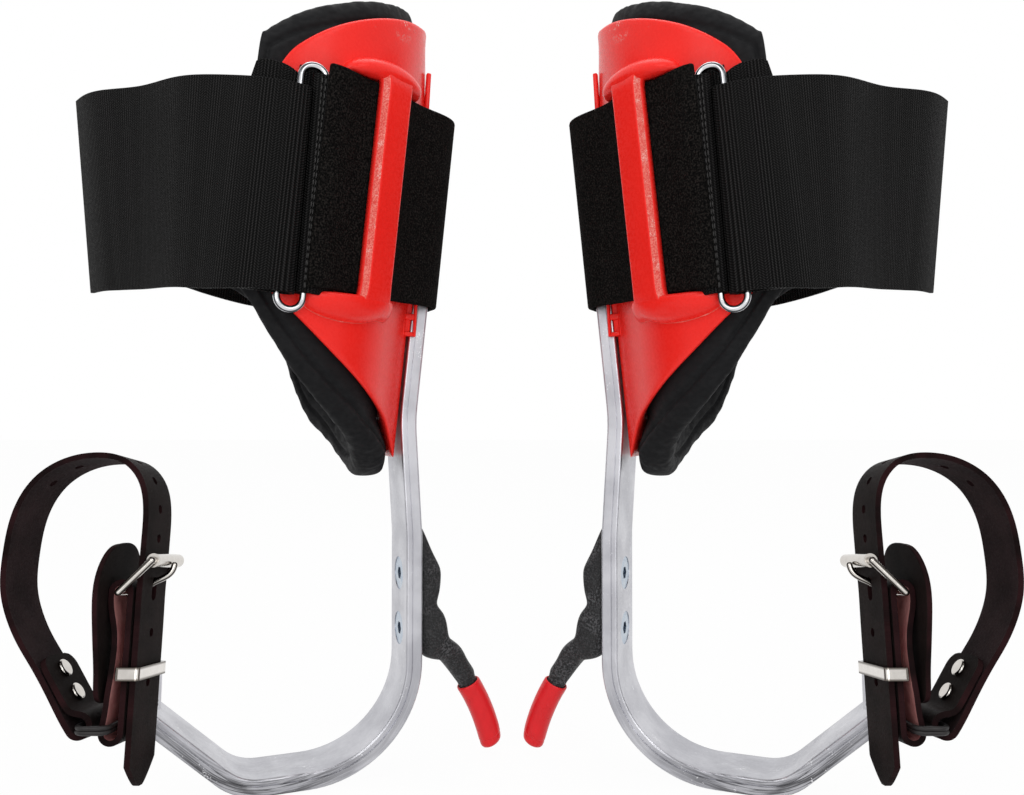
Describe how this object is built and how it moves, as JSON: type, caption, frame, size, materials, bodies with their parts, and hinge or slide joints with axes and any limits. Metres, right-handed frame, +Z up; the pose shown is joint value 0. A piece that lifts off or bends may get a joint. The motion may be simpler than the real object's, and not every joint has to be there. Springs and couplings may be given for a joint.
{
  "type": "pair of tree climbing spikes",
  "caption": "Strap-on leg irons with a bent stirrup bar, an angled spike, a padded calf cuff with belt and webbing, and a buckled leather foot strap.",
  "frame": {"origin": "on the ground plane, midway between the two climbers, centre of the bounding box's bottom", "axes": "+X to the viewer's right along the row of two, +Y away from the viewer, +Z up along the shanks"},
  "size_m": [0.4158, 0.1501, 0.3605],
  "materials": {
    "aluminium_bar": "satin cast bar with bright edges",
    "black_casting": "textured black",
    "zinc_screws": "blue-white zinc",
    "red_vinyl": "dipped vinyl, semi-gloss",
    "red_plastic": "moulded, light scuffs",
    "black_foam": "cloth-faced foam",
    "black_pile": "loop pile",
    "black_webbing": "ribbed weave",
    "bright_wire": "bright plate",
    "black_wire": "dark coated wire",
    "brown_leather": "dark brown, burgundy edges",
    "nickel": "nickel plate"
  },
  "bodies": {
    "left_frame": {"left_shank_stirrup": "aluminium_bar", "left_gaff": "black_casting", "left_gaff_screws": "zinc_screws", "left_calf_cuff": "red_plastic", "left_cuff_screws": "zinc_screws", "left_cuff_nuts": "zinc_screws", "left_calf_pad": "black_foam", "left_calf_belt": "black_pile", "left_calf_webbing": "black_webbing"},
    "left_guard": {"left_gaff_guard": "red_vinyl"},
    "left_ring": {"left_calf_ring": "bright_wire"},
    "left_strap": {"left_foot_link": "black_wire", "left_foot_strap": "brown_leather", "left_buckle_strap": "brown_leather", "left_foot_shield": "brown_leather", "left_strap_rivets": "nickel"},
    "left_buckle": {"left_buckle_frame": "nickel"},
    "left_roller": {"left_buckle_roller": "nickel"},
    "left_tongue": {"left_buckle_tongue": "nickel"},
    "left_keeper": {"left_strap_keeper": "nickel"},
    "right_frame": {"right_shank_stirrup": "aluminium_bar", "right_gaff": "black_casting", "right_gaff_screws": "zinc_screws", "right_calf_cuff": "red_plastic", "right_cuff_screws": "zinc_screws", "right_cuff_nuts": "zinc_screws", "right_calf_pad": "black_foam", "right_calf_belt": "black_pile", "right_calf_webbing": "black_webbing"},
    "right_guard": {"right_gaff_guard": "red_vinyl"},
    "right_ring": {"right_calf_ring": "bright_wire"},
    "right_strap": {"right_foot_link": "black_wire", "right_foot_strap": "brown_leather", "right_buckle_strap": "brown_leather", "right_foot_shield": "brown_leather", "right_strap_rivets": "nickel"},
    "right_buckle": {"right_buckle_frame": "nickel"},
    "right_roller": {"right_buckle_roller": "nickel"},
    "right_tongue": {"right_buckle_tongue": "nickel"},
    "right_keeper": {"right_strap_keeper": "nickel"}
  },
  "joints": [
    {"name": "left_guard_pull", "type": "slide", "parent": "left_frame", "child": "left_guard", "axis": [0.3826, 0.1515, -0.9114], "range_m": [0, 0.045]},
    {"name": "left_ring_turn", "type": "hinge", "parent": "left_frame", "child": "left_ring", "pos_m": [-0.08051, -0.05802, 0.26456], "axis": [0.0972, 0.0385, 0.9945], "range_deg": [-4, 4]},
    {"name": "left_strap_swing", "type": "hinge", "parent": "left_frame", "child": "left_strap", "pos_m": [-0.16252, -0.02267, 0.04708], "axis": [1, -0.007, 0], "range_deg": [-12, 15]},
    {"name": "left_buckle_turn", "type": "hinge", "parent": "left_strap", "child": "left_buckle", "pos_m": [-0.15631, -0.05032, 0.09953], "axis": [-0.0069, -0.9865, 0.1633], "range_deg": [-12, 0]},
    {"name": "left_tongue_turn", "type": "hinge", "parent": "left_buckle", "child": "left_tongue", "pos_m": [-0.15631, -0.05032, 0.09953], "axis": [-0.0069, -0.9865, 0.1633], "range_deg": [-14, 0]},
    {"name": "left_roller_spin", "type": "hinge", "parent": "left_buckle", "child": "left_roller", "pos_m": [-0.1439, -0.04836, 0.11187], "axis": [-0.0069, -0.9865, 0.1633], "continuous": true},
    {"name": "left_keeper_slide", "type": "slide", "parent": "left_strap", "child": "left_keeper", "axis": [0.0011, 0.1633, 0.9866], "range_m": [-0.01, 0.01]},
    {"name": "pair_spread", "type": "slide", "parent": "left_frame", "child": "right_frame", "axis": [1, 0, 0], "range_m": [0, 0.15]},
    {"name": "right_guard_pull", "type": "slide", "parent": "right_frame", "child": "right_guard", "axis": [-0.3826, 0.1515, -0.9114], "range_m": [0, 0.045]},
    {"name": "right_ring_turn", "type": "hinge", "parent": "right_frame", "child": "right_ring", "pos_m": [0.08051, -0.05802, 0.26456], "axis": [0.0972, -0.0385, -0.9945], "range_deg": [-4, 4]},
    {"name": "right_strap_swing", "type": "hinge", "parent": "right_frame", "child": "right_strap", "pos_m": [0.16252, -0.02267, 0.04708], "axis": [1, 0.007, 0], "range_deg": [-12, 15]},
    {"name": "right_buckle_turn", "type": "hinge", "parent": "right_strap", "child": "right_buckle", "pos_m": [0.15631, -0.05032, 0.09953], "axis": [-0.0069, 0.9865, -0.1633], "range_deg": [-12, 0]},
    {"name": "right_tongue_turn", "type": "hinge", "parent": "right_buckle", "child": "right_tongue", "pos_m": [0.15631, -0.05032, 0.09953], "axis": [-0.0069, 0.9865, -0.1633], "range_deg": [-14, 0]},
    {"name": "right_roller_spin", "type": "hinge", "parent": "right_buckle", "child": "right_roller", "pos_m": [0.1439, -0.04836, 0.11187], "axis": [-0.0069, 0.9865, -0.1633], "continuous": true},
    {"name": "right_keeper_slide", "type": "slide", "parent": "right_strap", "child": "right_keeper", "axis": [-0.0011, 0.1633, 0.9866], "range_m": [-0.01, 0.01]}
  ]
}
